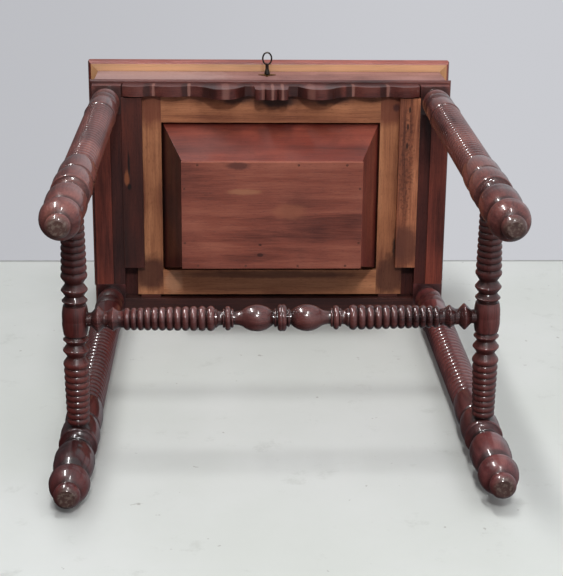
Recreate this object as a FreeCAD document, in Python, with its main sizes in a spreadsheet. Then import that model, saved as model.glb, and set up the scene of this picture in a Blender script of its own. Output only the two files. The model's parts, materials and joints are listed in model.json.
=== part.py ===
import FreeCAD, Part
import math
import os
import re
from FreeCAD import Placement, Rotation, Vector

# Sewing table: a shallow box with a hinged, locking lid stands on four ring-turned legs.
# Under the box runs a pull-out frame that carries a tapered wooden hopper for the work.
# Millimetres; front is -Y, left is -X. The origin is on the floor under the middle of the whole
# table, key and hinges included, so the middle of the case stands case_middle behind it.

doc = FreeCAD.newDocument("SewingTable")

DIMENSIONS = {
    # case
    "case_middle": 11.43,
    "case_width": 490,
    "case_depth": 324.6,
    "post": 39.6,
    "apron_bottom": 630,
    "opening_top": 648,
    "floor_bottom": 656,
    "floor_top": 662,
    "box_top": 738.4,
    "box_wall": 14,
    "box_front_wall": 18,
    "side_apron": 23,
    "rear_apron": 18,
    "tenon_depth": 12,
    "tenon_inset": 5,
    # mouldings
    "bead_bottom": 648,
    "bead_height": 12.6,
    "bead_out": 4.4,
    # lid
    "lid_bottom": 738.8,
    "lid_thickness": 20.2,
    "lid_out": 15,
    "lid_rounding": 4,
    # drawer
    "drawer_gap": 0.5,
    "frame_bottom": 636,
    "frame_half": 187.6,
    "frame_rear": 139.8,
    "opening_half": 151.5,
    "opening_front": -110,
    "opening_rear": 103.5,
    "front_thickness": 14.2,
    "runner_inner": 177.5,
    "runner_bottom": 625.7,
    "runner_rear": 97,
    "front_low": 622,
    "front_notch": 628.5,
    "ogee_low": 604,
    "pendant_low": 602,
    # hopper
    "hopper_wall": 8,
    "hopper_bottom": 549,
    "hopper_floor": 8,
    "hopper_inset": 30.5,
    "hopper_front_inset": 36,
    # legs and stretchers
    "leg_ring": 21.6,
    "leg_bead": 19.4,
    "leg_rib_top": 20,
    "leg_rib_low": 19.6,
    "leg_ribs": 24,
    "leg_ribs_top": 514,
    "leg_ribs_bottom": 238,
    "foot_front": 12.8,
    "foot_rear": 14.2,
    "foot_worn": 1,
    "stretcher_height": 143.4,
    "stretcher_crest": 14,
    "side_tenon": 8.6,
    "cross_tenon": 7.8,
    "side_ribs": 9,
    "cross_ribs": 12,
    "lean_front_left_x": 0,
    "lean_front_left_y": 0.5,
    "lean_front_right_x": -0.5,
    "lean_front_right_y": 1.8,
    "lean_rear_left_x": -1.2,
    "lean_rear_left_y": 7,
    "lean_rear_right_x": 4,
    "lean_rear_right_y": -2,
    # hinges
    "hinge_spread": 150,
    "hinge_length": 51,
    "leaf_thickness": 1.5,
    "leaf_depth": 12,
    "knuckle": 3.2,
    "pin": 1.4,
    # lock
    "lock_centre": -4,
    "lock_half": 30,
    "lock_bottom": 696,
    "lock_depth": 14,
    "lock_wall": 1.5,
    "key_height": 711,
    "shank": 2.5,
    "bit_reach": 8,
    "staple_left": 10,
    "staple_width": 4,
}


def make_sheet():
    sheet = doc.addObject("Spreadsheet::Sheet", "Dims")
    for row, (alias, value) in enumerate(DIMENSIONS.items(), start=1):
        sheet.set(f"A{row}", alias)
        sheet.set(f"B{row}", str(value))
        sheet.setAlias(f"B{row}", alias)
    doc.recompute()
    return sheet


sheet = make_sheet()
nodes = {}


def size(alias):
    """The value of one cell of the sheet, for outlines worked out in code."""
    return float(getattr(sheet, alias))


def formula(text):
    """Turns 'case_width / 2 - post' into an expression that reads the sheet."""
    return re.sub(r"[a-z][a-z_]+", lambda word: "Dims." + word.group(), str(text))


def keep(label, thing):
    """Marks a finished piece: its label is the name of its node."""
    thing.Label = label
    nodes[label] = thing
    return thing


def bind(thing, **properties):
    for name, text in properties.items():
        thing.setExpression(name.replace("_", "."), formula(text))


def place(thing, x=0, y=0, z=0):
    """Places a thing at a point measured from the middle of the case."""
    for axis, text in zip("xyz", (x, f"({y}) + case_middle", z)):
        thing.setExpression("Placement.Base." + axis, formula(text))


def board(name, x, y, z):
    """A box between two formulas along each axis."""
    box = doc.addObject("Part::Box", name)
    for side, (low, high) in zip(("Length", "Width", "Height"), (x, y, z)):
        box.setExpression(side, formula(f"({high}) - ({low})"))
    place(box, x[0], y[0], z[0])
    return box


def cylinder(name, radius, length, axis, x=0, y=0, z=0):
    """A round bar from the point (x, y, z) along an axis."""
    bar = doc.addObject("Part::Cylinder", name)
    bind(bar, Radius=radius, Height=length)
    bar.Placement = Placement(Vector(), Rotation(Vector(0, 0, 1), axis))
    place(bar, x, y, z)
    return bar


def several(name, members):
    """Separate solids that are one node."""
    joined = doc.addObject("Part::Compound", name)
    joined.Links = members
    return joined


def fused(name, members):
    whole = doc.addObject("Part::MultiFuse", name)
    whole.Shapes = members
    return whole


def cut(name, base, tools):
    hollowed = doc.addObject("Part::Cut", name)
    hollowed.Base = base
    hollowed.Tool = tools[0] if len(tools) == 1 else fused(name + "_tools", tools)
    return hollowed


def side_sign(side):
    return -1 if side in ("left", "front") else 1


def span(sign, inner, outer):
    """The span from inner to outer on one side of the middle."""
    return (inner, outer) if sign > 0 else (f"-({outer})", f"-({inner})")


# ---------------------------------------------------------------- sketches

def origin_plane(body, role):
    return next(part for part in body.Origin.OriginFeatures if part.Role == role)


def new_sketch(body, role, name):
    sketch = body.newObject("Sketcher::SketchObject", name)
    sketch.AttachmentSupport = [(origin_plane(body, role), "")]
    sketch.MapMode = "FlatFace"
    return sketch


def draw(sketch, outline):
    """Draws a closed outline. A point is a straight run to it, and a pair of points is an arc
    through the first to the second."""
    first = here = Vector(*outline[0], 0)
    for step in outline[1:]:
        if isinstance(step[0], tuple):
            through, there = Vector(*step[0], 0), Vector(*step[1], 0)
            sketch.addGeometry(Part.Arc(here, through, there), False)
        else:
            there = Vector(*step, 0)
            sketch.addGeometry(Part.LineSegment(here, there), False)
        here = there
    if here.distanceToPoint(first) > 1e-6:
        sketch.addGeometry(Part.LineSegment(here, first), False)


def turned(name, stations, pivot=0, out_of_true=(0, 0)):
    """A body turned about its own Z axis. Each station is (radius, height), or a pair of them for
    a rounded shape through the first to the second, listed from one end to the other. The axis
    can be out of true: it still passes through the pivot height but misses the origin by a
    little in X and Y."""
    body = doc.addObject("PartDesign::Body", name)
    sketch = new_sketch(body, "XZ_Plane", name + "_profile")
    upright, pin = Vector(0, 1, 0), Vector(0, pivot, 0)
    tilt = Rotation(upright, Vector(-out_of_true[0], pivot or 1, out_of_true[1]))
    sketch.AttachmentOffset = Placement(pin - tilt.multVec(pin), tilt)
    start = (0, stations[0][1])
    end = stations[-1][-1] if isinstance(stations[-1][0], tuple) else stations[-1]
    draw(sketch, [start] + stations + [(0, end[1])])
    turn = body.newObject("PartDesign::Revolution", name + "_turning")
    turn.Profile = sketch
    turn.ReferenceAxis = (sketch, ["V_Axis"])
    turn.Angle = 360
    return body


def bead(here, height, crest):
    """A rounded bead from this station to the same radius, height further on."""
    radius, base = here
    return ((crest, base + height / 2), (radius, base + height))


def ribs(start, finish, root, crest, end_root, end_crest, count, shrink=1.0):
    """A run of touching ribs. Each rib is shrink times as long as the one before it, and their
    radii change evenly from the first to the last."""
    lengths = [shrink ** step for step in range(count)]
    scale = (finish - start) / sum(lengths)
    stations = []
    height = start
    for step, length in enumerate(lengths):
        middle = (step + 0.5) / count
        after = (step + 1) / count
        top = crest + (end_crest - crest) * middle
        bottom = root + (end_root - root) * after
        stations.append(((top, height + length * scale / 2), (bottom, height + length * scale)))
        height += length * scale
    return stations


def mirrored(start, steps, flip):
    """The steps of an outline that began at start, flipped and taken in the other order, so that
    they lead from the flipped end back to the flipped start."""
    ends = [start] + [step[1] if isinstance(step[0], tuple) else step for step in steps]
    back = []
    for index in range(len(steps) - 1, -1, -1):
        step = steps[index]
        finish = flip(ends[index])
        back.append((flip(step[0]), finish) if isinstance(step[0], tuple) else finish)
    return back


# ---------------------------------------------------------------- legs and stretchers

def leg_stations(foot):
    """From the worn end of the foot, a little below the floor, up to the square post."""
    ring = size("leg_ring")
    low, top = size("leg_ribs_bottom"), size("leg_ribs_top")
    rib_low, rib_top = size("leg_rib_low"), size("leg_rib_top")
    bead_crest = size("leg_bead")
    post_bottom = size("apron_bottom")
    # rounded end of the foot
    stations = [(foot - 8, -size("foot_worn")), ((foot - 2.6, 1.8), (foot, 7))]
    stations += [((foot + 0.1, 9), (foot - 0.4, 12.5)), (foot - 1.6, 13.6), (foot - 1.8, 16)]
    # cup with a lip
    stations += [((ring - 2.6, 23.4), (ring, 34)), ((ring + 0.4, 38), (ring - 0.7, 42.4))]
    stations += [(13.6, 44.6), (12.4, 48)]
    # egg above it
    stations += [((19.6, 63.5), (21.9, 85)), ((20.3, 104), (13, 118)), (13, 119)]
    # small bead, then the broad ring that takes the side stretcher
    stations += [((16.4, 121.6), (15, 124.2)), ((16.8, 127.2), (ring - 0.9, 129))]
    stations += [((ring + 0.2, 132.6), (ring - 0.8, 136.6)), (20.2, 137.6), (20.2, 138.8)]
    stations += [((22.2, 157), (20.4, 177)), (18.8, 178.6), (18.8, 182)]
    # long flare under the ribs
    stations += [(20.2, 184), ((21.4, 205), (rib_low - 0.4, low - 3)), (rib_low - 1.6, low)]
    stations += ribs(low, top, rib_low - 1.6, rib_low, rib_top - 1.8, rib_top, int(size("leg_ribs")))
    # ring, smooth collar and two beads under the post
    stations += [bead(stations[-1][1], 8, rib_top + 0.9)]
    stations += [(18.8, top + 9), ((19.9, top + 26), (19.6, top + 46))]
    stations += [((19.2, top + 50), (16.8, top + 52)), (16.4, top + 54)]
    stations += [((bead_crest + 0.6, top + 67), (16.4, top + 81)), (16, top + 82)]
    stations += [((bead_crest, top + 94), (15.6, post_bottom - 8))]
    stations += [(15.6, post_bottom + 2)]
    return stations


def leg(across, along):
    """One leg: the square post and the turning are one piece of wood."""
    name = f"leg_{along}_{across}"
    stations = leg_stations(size(f"foot_{along}"))
    blank = turned(name + "_blank", stations, size("apron_bottom"), lean(across, along))
    square = new_sketch(blank, "XY_Plane", name + "_square")
    square.setExpression("AttachmentOffset.Base.z", formula("apron_bottom"))
    half = size("post") / 2
    draw(square, [(-half, -half), (half, -half), (half, half), (-half, half), (-half, -half)])
    post = blank.newObject("PartDesign::Pad", name + "_post")
    post.Profile = square
    bind(post, Length="floor_bottom - apron_bottom")
    x, y = side_sign(across), side_sign(along)
    place(blank, f"{x} * (case_width - post) / 2", f"{y} * (case_depth - post) / 2")
    return blank


def lean(across, along):
    """How far the foot of a leg stands from a point right under its post, in X and Y."""
    name = f"{along}_{across}"
    return size(f"lean_{name}_x"), size(f"lean_{name}_y")


def joint_point(across, along):
    """Where the axis of a leg passes the height of the stretchers, from the middle of the case."""
    share = 1 - size("stretcher_height") / size("apron_bottom")
    out_x, out_y = lean(across, along)
    x = side_sign(across) * (size("case_width") - size("post")) / 2 + out_x * share
    y = side_sign(along) * (size("case_depth") - size("post")) / 2 + out_y * share
    return Vector(x, y, size("stretcher_height"))


def ridge(height, half, crest, root):
    """A ridge with a narrow rounded crest between two straight slopes."""
    return [(root, height - half), (crest - 0.9, height - half * 0.24),
            ((crest, height), (crest - 0.9, height + half * 0.24)), (root, height + half)]


def side_stretcher_stations(half_length):
    """Half of a side stretcher, from its middle out to the root of its tenon at a leg."""
    crest, tenon = size("stretcher_crest"), size("side_tenon")
    stations = [((crest + 0.3, 8.5), (crest - 1.2, 17)), (10.8, 17.6), (10.8, 18.4)]
    stations += ridge(22.4, 4, crest, 10.8)[1:] + ridge(34.8, 7, crest + 0.6, 10)
    stations += [(10, 42.6), (crest, 48.6), ((crest + 0.5, 50), (crest - 0.2, 53.4)), (12.6, 55.2)]
    finish = half_length - size("leg_ring") - 1.4
    stations += ribs(56, finish, 12.6, crest + 0.2, 11.4, 12.6, int(size("side_ribs")), 0.99)
    return stations + [(tenon, finish)]


def cross_stretcher_stations():
    """Half of the cross stretcher, from its middle out to the root of its tenon."""
    crest, tenon = size("stretcher_crest"), size("cross_tenon")
    stations = [((crest + 0.4, 3), (9, 4.2)), (9, 5.4)]
    stations += [((10.2, 7), (7.6, 8.6)), (7.6, 10)]
    # vase
    stations += [((crest + 0.6, 25), (9.2, 43)), ((7.4, 49), (7.2, 54))]
    # disc between two fillets
    stations += [((10.4, 55.2), (9.2, 56.4)), ((crest - 0.6, 59.4), (9.2, 62.4)), ((10.4, 63.6), (8, 64.8))]
    stations += [((7.6, 67.6), (9.4, 71)), (10.2, 71.6), (10.2, 73.4)]
    stations += ribs(73.4, 173, 10.2, crest, 9.6, 12.2, int(size("cross_ribs")), 0.975)
    stations += [(9.2, 176)] + ridge(184.6, 6, 13, 9.2) + [(8.8, 193)]
    stations += ridge(201, 6.4, crest + 0.6, 8.8) + [(tenon, 208.4)]
    return stations


def both_ways(half):
    """Makes a profile that runs from end to end out of a half that starts at the middle."""
    middle = (half[0][0][0], 0)
    last_radius, last_height = half[-1]
    return [(last_radius, -last_height)] + mirrored(middle, half, lambda at: (at[0], -at[1])) + half


def stretcher(name, half, start, finish, short, tenon):
    """A turned bar between two joint points, its tenons ending short of them, and a plain round
    bar of the same length that cuts the sockets."""
    reach = finish - start
    length = reach.Length / 2 - short
    profile = both_ways(half + [(size(tenon), length)])
    blank = turned(name + "_blank", profile)
    bore = doc.addObject("Part::Cylinder", name + "_sockets")
    bind(bore, Radius=tenon)
    bore.Height = 2 * length
    towards = Rotation(Vector(0, 0, 1), reach)
    middle, end = (start + finish) / 2, (start + finish) / 2 - reach * (length / reach.Length)
    for thing, at in ((blank, middle), (bore, end)):
        thing.Placement = Placement(Vector(), towards)
        place(thing, at.x, at.y, at.z)
    return blank, bore


def make_legs_and_stretchers():
    """Each foot is worn level with the floor, whatever the lean of its leg."""
    sides = {}
    ground = board("ground", ("-case_width", "case_width"), ("-case_depth", "case_depth"),
                   ("-2 * foot_worn", "0"))
    for across in ("left", "right"):
        front, rear = joint_point(across, "front"), joint_point(across, "rear")
        name = f"side_stretcher_{across}"
        half = side_stretcher_stations((rear - front).Length / 2)
        blank, bore = stretcher(name, half, front, rear, 9, "side_tenon")
        sides[across] = (blank, (front + rear) / 2)
        for along in ("front", "rear"):
            mortises = [tenons[f"{along}_{across}_side"], tenons[f"{along}_{across}_end"]]
            post = leg(across, along)
            keep(f"leg_{along}_{across}", cut(f"leg_{along}_{across}", post, [bore, ground] + mortises))
    (left, left_middle), (right, right_middle) = sides["left"], sides["right"]
    cross, bore = stretcher("cross_stretcher", cross_stretcher_stations(), left_middle,
                            right_middle, 6, "cross_tenon")
    keep("side_stretcher_left", cut("side_stretcher_left", left, [bore]))
    keep("side_stretcher_right", cut("side_stretcher_right", right, [bore]))
    keep("cross_stretcher", cross)


# ---------------------------------------------------------------- lower case

tenons = {}


def make_tenons():
    """Tenons of the aprons and of the front rail. Each also cuts its mortise in a post."""
    inner_x, inner_y = "case_width / 2 - post", "case_depth / 2 - post"
    low, high = "apron_bottom + tenon_inset", "floor_bottom - tenon_inset"
    for across in ("left", "right"):
        x = side_sign(across)
        for along in ("front", "rear"):
            y = side_sign(along)
            name = f"{along}_{across}"
            cheek = span(x, "case_width / 2 - 16", "case_width / 2 - 8")
            tenons[name + "_side"] = board(name + "_side_tenon", cheek,
                                           span(y, inner_y, f"{inner_y} + tenon_depth"), (low, high))
            bottom = "opening_top + 2" if along == "front" else low
            top = "floor_bottom - 2" if along == "front" else high
            cheek = span(y, "case_depth / 2 - 26", "case_depth / 2 - 18")
            if along == "rear":
                cheek = span(y, "case_depth / 2 - 13", "case_depth / 2 - 6")
            tenons[name + "_end"] = board(name + "_end_tenon",
                                          span(x, inner_x, f"{inner_x} + tenon_depth"), cheek, (bottom, top))


def make_lower_case():
    inner_x, inner_y = "case_width / 2 - post", "case_depth / 2 - post"
    for across in ("left", "right"):
        x = side_sign(across)
        blank = board(f"apron_{across}_blank", span(x, "case_width / 2 - side_apron", "case_width / 2"),
                      (f"-({inner_y})", inner_y), ("apron_bottom", "floor_bottom"))
        ends = [tenons[f"front_{across}_side"], tenons[f"rear_{across}_side"]]
        keep(f"apron_{across}", fused(f"apron_{across}", [blank] + ends))
        keep(f"drawer_guide_{across}",
             board(f"drawer_guide_{across}", span(x, inner_x, "case_width / 2 - side_apron"),
                   (f"-({inner_y})", inner_y), ("apron_bottom + 1", "floor_bottom")))
        keep(f"runner_{across}",
             board(f"runner_{across}", span(x, "runner_inner", inner_x),
                   ("-case_depth / 2 + front_thickness + 2", "runner_rear"),
                   ("runner_bottom", "frame_bottom - 0.4")))
        keep(f"kicker_{across}",
             board(f"kicker_{across}", span(x, "runner_inner", inner_x),
                   (f"-({inner_y})", "case_depth / 2 - rear_apron"), ("opening_top", "floor_bottom")))
    for label, along, y, bottom in (
        ("apron_rear", "rear", ("case_depth / 2 - rear_apron", "case_depth / 2"), "apron_bottom"),
        ("front_rail", "front", ("-case_depth / 2", f"-({inner_y})"), "opening_top"),
    ):
        blank = board(label + "_blank", (f"-({inner_x})", inner_x), y, (bottom, "floor_bottom"))
        ends = [tenons[f"{along}_left_end"], tenons[f"{along}_right_end"]]
        keep(label, fused(label, [blank] + ends))
    stops = [
        board(f"stop_{across}", span(side_sign(across), "opening_half + 4", "opening_half + 32"),
              ("frame_rear + 0.5", "case_depth / 2 - rear_apron"), ("frame_bottom", "opening_top"))
        for across in ("left", "right")
    ]
    keep("drawer_stops", several("drawer_stops", stops))


# ---------------------------------------------------------------- mouldings

def moulding(name, section, run, out, mitres, turn):
    """A strip along X with its section drawn outwards (-Y) and up, mitred or squared at each end,
    and then turned about Z."""
    body = doc.addObject("PartDesign::Body", name)
    profile = new_sketch(body, "YZ_Plane", name + "_section")
    draw(profile, section)
    strip = body.newObject("PartDesign::Pad", name + "_strip")
    strip.Profile = profile
    strip.Midplane = True
    bind(strip, Length=f"({run}) + 2 * {out}")
    doc.recompute()
    before = strip.Shape.Volume
    ends = new_sketch(body, "XY_Plane", name + "_ends")
    half = strip.Length.Value / 2 - size(out)
    reach = size(out)
    for sign in (-1, 1):
        corner, tip = sign * half, sign * (half + reach + 1)
        if sign in mitres:
            draw(ends, [(corner - sign, 1), (tip, 1), (tip, -reach - 1), (corner - sign, 1)])
        else:
            draw(ends, [(corner, 1), (tip, 1), (tip, -reach - 1), (corner, -reach - 1), (corner, 1)])
    trim = body.newObject("PartDesign::Pocket", name + "_trim")
    trim.Profile = ends
    trim.Type = "ThroughAll"
    trim.Midplane = True
    doc.recompute()
    if trim.Shape.Volume >= before:
        raise RuntimeError(f"{name}: the ends were not trimmed")
    body.Placement = Placement(Vector(), Rotation(Vector(0, 0, 1), turn))
    return body


def bead_section(out, height):
    """A half round over a small hollow."""
    return [(0.0, 0.0), (-out * 0.55, 0.0), ((-out, height * 0.3), (-out * 0.55, height * 0.6)),
            (-out * 0.35, height * 0.62), ((-out * 0.16, height * 0.78), (0.0, height)), (0.0, 0.0)]


def nosing_section(out, height):
    """A small bead under a large half round, on the edge of the lid."""
    return [(0.0, 0.0), (-out + 5, 0.0), ((-out + 2.6, 2.4), (-out + 4, 4.8)), (-out + 3.2, 5.2),
            ((-out, 12.4), (-out + 5.6, height)), (0.0, height), (0.0, 0.0)]


def make_mouldings():
    out, height = size("bead_out"), size("bead_height")
    section = bead_section(out, height)
    for label, run, turn, mitres in (
        ("base_bead_front", "case_width", 0, (-1, 1)),
        ("base_bead_left", "case_depth", -90, (1,)),
        ("base_bead_right", "case_depth", 90, (-1,)),
    ):
        strip = moulding(label, section, run, "bead_out", mitres, turn)
        x = {0: "0", -90: "-case_width / 2", 90: "case_width / 2"}[turn]
        y = "-case_depth / 2" if turn == 0 else "0"
        place(strip, x, y, "bead_bottom")
        keep(label, strip)


# ---------------------------------------------------------------- box

def keyhole(name, y_low, y_high):
    """A round hole with a slot below it."""
    x, z = "lock_centre", "key_height"
    bore = cylinder(name + "_bore", "shank + 0.9", f"({y_high}) - ({y_low})", Vector(0, 1, 0), x, y_low, z)
    slot = board(name + "_slot", (f"{x} - 1.7", f"{x} + 1.7"), (y_low, y_high),
                 (f"{z} - bit_reach - 0.8", z))
    return [bore, slot]


def screws(name, places, length, head):
    """Countersunk wood screws, each a cone and a shank. A place is (x, y, z, up or down)."""
    pieces = []
    for index, (x, y, z, way) in enumerate(places):
        cone = doc.addObject("Part::Cone", f"{name}_head_{index}")
        bind(cone, Radius1=head, Radius2=head / 2, Height=head / 2)
        cone.Placement = Placement(Vector(), Rotation(Vector(0, 0, 1), Vector(0, 0, way)))
        place(cone, x, y, z)
        shank = cylinder(f"{name}_shank_{index}", head / 2, length, Vector(0, 0, way), x, y, z)
        pieces.append(fused(f"{name}_{index}", [cone, shank]))
    return several(name, pieces)


def make_box():
    half_x, half_y = "case_width / 2", "case_depth / 2"
    wall, front = "box_wall", "box_front_wall"
    upper = ("floor_top", "box_top")
    keep("box_floor", board("box_floor", (f"-{half_x}", half_x), (f"-{half_y}", half_y),
                            ("floor_bottom", "floor_top")))
    for across in ("left", "right"):
        keep(f"box_{across}", board(f"box_{across}", span(side_sign(across), f"{half_x} - {wall}", half_x),
                                    (f"-{half_y} + {front}", f"{half_y} - {wall}"), upper))
    blank = board("box_front_blank", (f"-{half_x}", half_x), (f"-{half_y}", f"-{half_y} + {front}"), upper)
    lock_bay = board("lock_bay", ("lock_centre - lock_half", "lock_centre + lock_half"),
                     (f"-{half_y} + {front} - lock_depth", f"-{half_y} + {front}"),
                     ("lock_bottom", "box_top - 2"))
    plate_bay = lock_plate("plate_bay")
    hole = keyhole("front_keyhole", f"-{half_y}", f"-{half_y} + {front}")
    keep("box_front", cut("box_front", blank, [lock_bay, plate_bay, lock_screws_tool] + hole))
    blank = board("box_back_blank", (f"-{half_x}", half_x), (f"{half_y} - {wall}", half_y), upper)
    beds = [hinge_bed(f"back_bed_{across}", across, "box_top - leaf_thickness", "box_top")
            for across in ("left", "right")]
    keep("box_back", cut("box_back", blank, beds + [lower_screws]))
    # fixed partitions of the sewing box
    left, right = f"-{half_x} + {wall}", f"{half_x} - {wall}"
    tall = ("floor_top", "floor_top + 42")
    keep("tray_rail", board("tray_rail", (left, right), ("40", "46"), tall))
    front_cells = [board(f"front_divider_{index}", (f"{x} - 3", f"{x} + 3"), (f"-{half_y} + {front}", "40"),
                         tall) for index, x in enumerate((-115, 0, 115))]
    rear_cells = [board(f"rear_divider_{index}", (f"{x} - 3", f"{x} + 3"), ("46", f"{half_y} - {wall}"),
                        tall) for index, x in enumerate((-75, 75))]
    keep("tray_dividers_front", several("tray_dividers_front", front_cells))
    keep("tray_dividers_rear", several("tray_dividers_rear", rear_cells))


# ---------------------------------------------------------------- hinges

HINGE_AXIS = ("case_depth / 2 + knuckle + 0.3", "(box_top + lid_bottom) / 2")


def hinge_bed(name, across, low, high):
    middle = f"{side_sign(across)} * hinge_spread"
    return board(name, (f"{middle} - hinge_length / 2", f"{middle} + hinge_length / 2"),
                 ("case_depth / 2 - leaf_depth", "case_depth / 2"), (low, high))


def hinge_screw_places(height, way):
    places = []
    for across in ("left", "right"):
        for step in (-17, 0, 17):
            x = f"{side_sign(across)} * hinge_spread + {step}"
            places.append((x, "case_depth / 2 - 6.5", height, way))
    return places


def hinge_half(name, across, low, high, segments, bore_radius, screw_tool):
    """One leaf with its share of the barrel, which is five knuckles long."""
    middle = f"{side_sign(across)} * hinge_spread"
    y, z = HINGE_AXIS
    pitch = "hinge_length / 5"
    leaf = hinge_bed(f"{name}_leaf_{across}", across, low, high)
    pieces = [leaf]
    for number in segments:
        start = f"{middle} - hinge_length / 2 + {number} * {pitch} + 0.15"
        end = f"{start} + {pitch} - 0.3"
        barrel = cylinder(f"{name}_barrel_{across}_{number}", "knuckle", f"{pitch} - 0.3", Vector(1, 0, 0),
                          start, y, z)
        web = board(f"{name}_web_{across}_{number}", (start, end), ("case_depth / 2 - 1", y), (low, high))
        pieces += [barrel, web]
    bore = cylinder(f"{name}_bore_{across}", bore_radius, "hinge_length", Vector(1, 0, 0),
                    f"{middle} - hinge_length / 2", y, z)
    whole = fused(f"{name}_whole_{across}", pieces)
    return cut(f"{name}_{across}", whole, [bore, screw_tool])


def make_hinges():
    lower, upper = [], []
    for across in ("left", "right"):
        lower.append(hinge_half("lower", across, "box_top - leaf_thickness", "box_top", (1, 3),
                                "pin", lower_screws))
        upper.append(hinge_half("upper", across, "lid_bottom", "lid_bottom + leaf_thickness", (0, 2, 4),
                                "pin + 0.05", upper_screws))
    keep("hinge_leaves_lower", several("hinge_leaves_lower", lower))
    keep("hinge_leaves_upper", several("hinge_leaves_upper", upper))
    y, z = HINGE_AXIS
    pins = [cylinder(f"hinge_pin_{across}", "pin", "hinge_length + 1", Vector(1, 0, 0),
                     f"{side_sign(across)} * hinge_spread - hinge_length / 2 - 0.5", y, z)
            for across in ("left", "right")]
    keep("hinge_pins", several("hinge_pins", pins))


# ---------------------------------------------------------------- lock and key

LOCK_BACK = "-case_depth / 2 + box_front_wall"


def lock_plate(name):
    """The brass strip let into the top edge of the box front."""
    return board(name, ("lock_centre - lock_half - 6", "lock_centre + lock_half + 6"),
                 (f"{LOCK_BACK} - lock_depth - 1", LOCK_BACK), ("box_top - 2", "box_top"))


def staple_slot(name, slack, low, high):
    left = f"lock_centre + staple_left - {slack}"
    right = f"lock_centre + staple_left + staple_width + {slack}"
    return board(name, (left, right), (f"{LOCK_BACK} - 12.6", f"{LOCK_BACK} - 1.5"), (low, high))


def make_lock():
    wall = "lock_wall"
    left, right = "lock_centre - lock_half", "lock_centre + lock_half"
    front = f"{LOCK_BACK} - lock_depth"
    shell = board("lock_shell", (left, right), (front, LOCK_BACK), ("lock_bottom", "box_top - 2"))
    inside = board("lock_inside", (f"{left} + {wall}", f"{right} - {wall}"),
                   (f"{front} + {wall}", f"{LOCK_BACK} - {wall}"), (f"lock_bottom + {wall}", "box_top - 2"))
    hole = keyhole("case_keyhole", front, f"{front} + {wall}")
    keep("lock_case", cut("lock_case", shell, [inside] + hole))
    slot = staple_slot("plate_slot", "1.2", "box_top - 2", "box_top")
    keep("lock_plate", cut("lock_plate", lock_plate("lock_plate_blank"), [slot, lock_screws_tool]))
    keep("lock_screws", lock_screws_tool)
    keep("lock_bolt", board("lock_bolt", ("lock_centre - 14", "lock_centre + staple_left - 1"),
                            (f"{LOCK_BACK} - 9", f"{LOCK_BACK} - 5.6"),
                            ("key_height + bit_reach + 1", "key_height + bit_reach + 9")))
    # link plate under the lid, with the staple that the bolt enters
    plate = board("link_flat", ("lock_centre - 14", "lock_centre + 38"),
                  (f"{LOCK_BACK} - 13", f"{LOCK_BACK} - 1"), ("lid_bottom", "lid_bottom + 2"))
    staple = board("staple", ("lock_centre + staple_left", "lock_centre + staple_left + staple_width"),
                   (f"{LOCK_BACK} - 11.6", f"{LOCK_BACK} - 2.6"),
                   ("key_height + bit_reach - 2", "lid_bottom + 2"))
    window = board("staple_window", ("lock_centre + staple_left - 1", "lock_centre + staple_left + 5"),
                   (f"{LOCK_BACK} - 9.4", f"{LOCK_BACK} - 5.2"),
                   ("key_height + bit_reach + 0.5", "key_height + bit_reach + 9.5"))
    joined = fused("link_blank", [plate, staple])
    keep("link_plate", cut("link_plate", joined, [window, link_screws_tool]))
    keep("link_screws", link_screws_tool)
    make_escutcheon()
    make_key()


def make_escutcheon():
    """A thin brass plate round the keyhole, with four small points."""
    face = "-case_depth / 2"
    disc = cylinder("escutcheon_disc", 7.4, 1, Vector(0, 1, 0), "lock_centre", f"{face} - 1", "key_height")
    points = [disc]
    for index, angle in enumerate((0, 90, 180, 270)):
        point = doc.addObject("Part::Wedge", f"escutcheon_point_{index}")
        point.Xmin, point.Xmax, point.X2min, point.X2max = -4.4, 4.4, -0.4, 0.4
        point.Ymin, point.Ymax = 5.5, 12.4
        point.Zmin, point.Zmax, point.Z2min, point.Z2max = 0, 1, 0, 1
        point.Placement = Placement(Vector(), Rotation(Vector(0, 1, 0), angle) * Rotation(Vector(1, 0, 0), 90))
        place(point, "lock_centre", face, "key_height")
        points.append(point)
    whole = fused("escutcheon_blank", points)
    hole = keyhole("escutcheon_keyhole", f"{face} - 1", face)
    keep("escutcheon", cut("escutcheon", whole, hole))


def make_key():
    """The key lies with its bow level, a quarter turn from the way it goes in."""
    face = "-case_depth / 2"
    x, z = "lock_centre", "key_height"
    tip = f"{LOCK_BACK} - 3.4"
    shank = cylinder("key_shank", "shank", f"({tip}) - ({face} - 16)", Vector(0, 1, 0), x, f"{face} - 16", z)
    collar = doc.addObject("Part::Cone", "key_collar")
    bind(collar, Radius1=2.8, Radius2=4.2, Height=6)
    collar.Placement = Placement(Vector(), Rotation(Vector(0, 0, 1), Vector(0, 1, 0)))
    place(collar, x, f"{face} - 8", z)
    bit = board("key_bit", (f"{x} - bit_reach", x), (f"{LOCK_BACK} - 11.4", f"{LOCK_BACK} - 6"),
                (f"{z} - 1.1", f"{z} + 1.1"))
    ring = doc.addObject("Part::Ellipse", "bow_line")
    ring.MajorRadius, ring.MinorRadius = 8.4, 6.2
    ring.Placement = Placement(Vector(), Rotation(Vector(0, 0, 1), 90))
    place(ring, x, f"{face} - 23.6", z)
    wire = doc.addObject("Part::Circle", "bow_wire")
    wire.Radius = 1.15
    wire.Placement = Placement(Vector(), Rotation(Vector(0, 1, 0), 90))
    place(wire, x, f"{face} - 15.2", z)
    bow = doc.addObject("Part::Sweep", "key_bow")
    bow.Sections = [wire]
    bow.Spine = (ring, ["Edge1"])
    bow.Solid = True
    bow.Frenet = True
    keep("key", fused("key", [shank, collar, bit, bow]))


# ---------------------------------------------------------------- lid

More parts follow.
